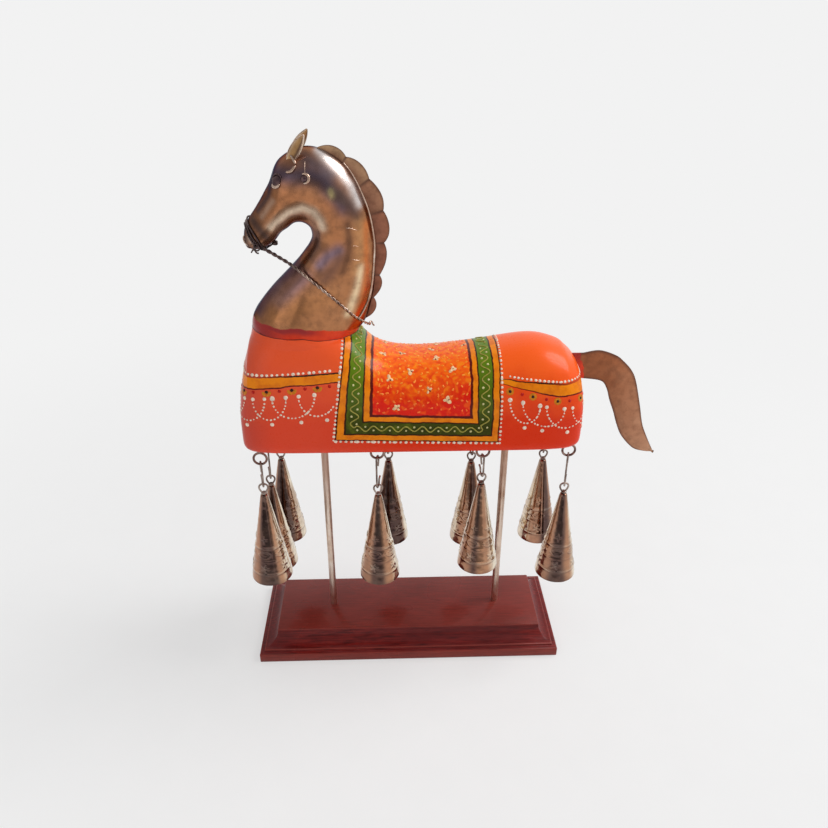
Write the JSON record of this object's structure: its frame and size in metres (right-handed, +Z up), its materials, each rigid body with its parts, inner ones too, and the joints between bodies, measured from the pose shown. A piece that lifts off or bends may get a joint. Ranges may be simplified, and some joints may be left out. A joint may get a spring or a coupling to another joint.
{
  "type": "horse figurine",
  "caption": "Painted wooden horse on two rods over a moulded base, with a sheet-metal head, mane and tail, a wire rein and cone bells that swing under the body.",
  "frame": {"origin": "centre of the underside of the base", "axes": "+X towards the tail, +Y towards the horse's right side, +Z up"},
  "size_m": [0.2557, 0.078, 0.3327],
  "materials": {
    "lacquered_wood": "glossy red-brown lacquer",
    "painted_wood": "glossy orange-red paint with bands, dots and a saddle cloth",
    "head_brass": "aged, hand-beaten sheet",
    "bell_brass": "aged rolled sheet with stamped rings",
    "rod_steel": "plated rod, worn",
    "wire_steel": "dull bent wire"
  },
  "bodies": {
    "figure": {"base_plaque": "lacquered_wood", "front_rod": "rod_steel", "rear_rod": "rod_steel", "body": "painted_wood", "neck_left_half": "head_brass", "neck_right_half": "head_brass", "mane": "head_brass", "left_ear": "head_brass", "right_ear": "head_brass", "noseband": "wire_steel", "rein": "wire_steel", "tail": "head_brass", "screw_eyes": "wire_steel"},
    "left_1_hanger": {"left_1_link": "wire_steel"},
    "left_1_ringer": {"left_1_bell": "bell_brass", "left_1_bell_eye": "wire_steel"},
    "left_1_striker": {"left_1_clapper": "wire_steel"},
    "left_2_hanger": {"left_2_link": "wire_steel"},
    "left_2_ringer": {"left_2_bell": "bell_brass", "left_2_bell_eye": "wire_steel"},
    "left_2_striker": {"left_2_clapper": "wire_steel"},
    "left_3_hanger": {"left_3_link": "wire_steel"},
    "left_3_ringer": {"left_3_bell": "bell_brass", "left_3_bell_eye": "wire_steel"},
    "left_3_striker": {"left_3_clapper": "wire_steel"},
    "left_4_hanger": {"left_4_link": "wire_steel"},
    "left_4_ringer": {"left_4_bell": "bell_brass", "left_4_bell_eye": "wire_steel"},
    "left_4_striker": {"left_4_clapper": "wire_steel"},
    "right_1_hanger": {"right_1_link": "wire_steel"},
    "right_1_ringer": {"right_1_bell": "bell_brass", "right_1_bell_eye": "wire_steel"},
    "right_1_striker": {"right_1_clapper": "wire_steel"},
    "right_2_hanger": {"right_2_link": "wire_steel"},
    "right_2_ringer": {"right_2_bell": "bell_brass", "right_2_bell_eye": "wire_steel"},
    "right_2_striker": {"right_2_clapper": "wire_steel"},
    "right_3_hanger": {"right_3_link": "wire_steel"},
    "right_3_ringer": {"right_3_bell": "bell_brass", "right_3_bell_eye": "wire_steel"},
    "right_3_striker": {"right_3_clapper": "wire_steel"},
    "right_4_hanger": {"right_4_link": "wire_steel"},
    "right_4_ringer": {"right_4_bell": "bell_brass", "right_4_bell_eye": "wire_steel"},
    "right_4_striker": {"right_4_clapper": "wire_steel"},
    "chest_hanger": {"chest_link": "wire_steel"},
    "chest_ringer": {"chest_bell": "bell_brass", "chest_bell_eye": "wire_steel"},
    "chest_striker": {"chest_clapper": "wire_steel"}
  },
  "joints": [
    {"name": "left_1_link_swing", "type": "hinge", "parent": "figure", "child": "left_1_hanger", "pos_m": [-0.08725, -0.0255, 0.1507], "axis": [1, 0, 0], "range_deg": [-30, 0]},
    {"name": "left_1_bell_swing", "type": "hinge", "parent": "left_1_hanger", "child": "left_1_ringer", "pos_m": [-0.08725, -0.0255, 0.13515], "axis": [0, 1, 0], "range_deg": [-20, 20]},
    {"name": "left_1_clapper_swing", "type": "hinge", "parent": "left_1_ringer", "child": "left_1_striker", "pos_m": [-0.08725, -0.0255, 0.11785], "axis": [1, 0, 0], "range_deg": [-8, 8]},
    {"name": "left_2_link_swing", "type": "hinge", "parent": "figure", "child": "left_2_hanger", "pos_m": [-0.01875, -0.021, 0.1507], "axis": [1, 0, 0], "range_deg": [-30, 2]},
    {"name": "left_2_bell_swing", "type": "hinge", "parent": "left_2_hanger", "child": "left_2_ringer", "pos_m": [-0.01875, -0.021, 0.13015], "axis": [0, 1, 0], "range_deg": [-20, 20]},
    {"name": "left_2_clapper_swing", "type": "hinge", "parent": "left_2_ringer", "child": "left_2_striker", "pos_m": [-0.01875, -0.021, 0.11285], "axis": [1, 0, 0], "range_deg": [-8, 8]},
    {"name": "left_3_link_swing", "type": "hinge", "parent": "figure", "child": "left_3_hanger", "pos_m": [0.04425, -0.021, 0.1507], "axis": [1, 0, 0], "range_deg": [-30, 2]},
    {"name": "left_3_bell_swing", "type": "hinge", "parent": "left_3_hanger", "child": "left_3_ringer", "pos_m": [0.04425, -0.021, 0.13715], "axis": [0, 1, 0], "range_deg": [-20, 20]},
    {"name": "left_3_clapper_swing", "type": "hinge", "parent": "left_3_ringer", "child": "left_3_striker", "pos_m": [0.04425, -0.021, 0.11985], "axis": [1, 0, 0], "range_deg": [-8, 8]},
    {"name": "left_4_link_swing", "type": "hinge", "parent": "figure", "child": "left_4_hanger", "pos_m": [0.09575, -0.021, 0.1507], "axis": [1, 0, 0], "range_deg": [-30, 2]},
    {"name": "left_4_bell_swing", "type": "hinge", "parent": "left_4_hanger", "child": "left_4_ringer", "pos_m": [0.09575, -0.021, 0.12915], "axis": [0, 1, 0], "range_deg": [-20, 20]},
    {"name": "left_4_clapper_swing", "type": "hinge", "parent": "left_4_ringer", "child": "left_4_striker", "pos_m": [0.09575, -0.021, 0.11185], "axis": [1, 0, 0], "range_deg": [-8, 8]},
    {"name": "right_1_link_swing", "type": "hinge", "parent": "figure", "child": "right_1_hanger", "pos_m": [-0.08375, 0.0265, 0.1507], "axis": [1, 0, 0], "range_deg": [0, 30]},
    {"name": "right_1_bell_swing", "type": "hinge", "parent": "right_1_hanger", "child": "right_1_ringer", "pos_m": [-0.08375, 0.0265, 0.12715], "axis": [0, 1, 0], "range_deg": [-20, 20]},
    {"name": "right_1_clapper_swing", "type": "hinge", "parent": "right_1_ringer", "child": "right_1_striker", "pos_m": [-0.08375, 0.0265, 0.10985], "axis": [1, 0, 0], "range_deg": [-8, 8]},
    {"name": "right_2_link_swing", "type": "hinge", "parent": "figure", "child": "right_2_hanger", "pos_m": [-0.01225, 0.021, 0.1507], "axis": [1, 0, 0], "range_deg": [-2, 30]},
    {"name": "right_2_bell_swing", "type": "hinge", "parent": "right_2_hanger", "child": "right_2_ringer", "pos_m": [-0.01225, 0.021, 0.12815], "axis": [0, 1, 0], "range_deg": [-20, 20]},
    {"name": "right_2_clapper_swing", "type": "hinge", "parent": "right_2_ringer", "child": "right_2_striker", "pos_m": [-0.01225, 0.021, 0.11085], "axis": [1, 0, 0], "range_deg": [-8, 8]},
    {"name": "right_3_link_swing", "type": "hinge", "parent": "figure", "child": "right_3_hanger", "pos_m": [0.04275, 0.021, 0.1507], "axis": [1, 0, 0], "range_deg": [-2, 30]},
    {"name": "right_3_bell_swing", "type": "hinge", "parent": "right_3_hanger", "child": "right_3_ringer", "pos_m": [0.04275, 0.021, 0.12615], "axis": [0, 1, 0], "range_deg": [-20, 20]},
    {"name": "right_3_clapper_swing", "type": "hinge", "parent": "right_3_ringer", "child": "right_3_striker", "pos_m": [0.04275, 0.021, 0.10885], "axis": [1, 0, 0], "range_deg": [-8, 8]},
    {"name": "right_4_link_swing", "type": "hinge", "parent": "figure", "child": "right_4_hanger", "pos_m": [0.09075, 0.021, 0.1507], "axis": [1, 0, 0], "range_deg": [-2, 30]},
    {"name": "right_4_bell_swing", "type": "hinge", "parent": "right_4_hanger", "child": "right_4_ringer", "pos_m": [0.09075, 0.021, 0.12715], "axis": [0, 1, 0], "range_deg": [-20, 20]},
    {"name": "right_4_clapper_swing", "type": "hinge", "parent": "right_4_ringer", "child": "right_4_striker", "pos_m": [0.09075, 0.021, 0.10985], "axis": [1, 0, 0], "range_deg": [-8, 8]},
    {"name": "chest_link_swing", "type": "hinge", "parent": "figure", "child": "chest_hanger", "pos_m": [-0.08725, 0, 0.1507], "axis": [1, 0, 0], "range_deg": [-0.5, 0.5]},
    {"name": "chest_bell_swing", "type": "hinge", "parent": "chest_hanger", "child": "chest_ringer", "pos_m": [-0.08725, 0, 0.12415], "axis": [0, 1, 0], "range_deg": [-10, 20]},
    {"name": "chest_clapper_swing", "type": "hinge", "parent": "chest_ringer", "child": "chest_striker", "pos_m": [-0.08725, 0, 0.10685], "axis": [1, 0, 0], "range_deg": [-8, 8]}
  ]
}
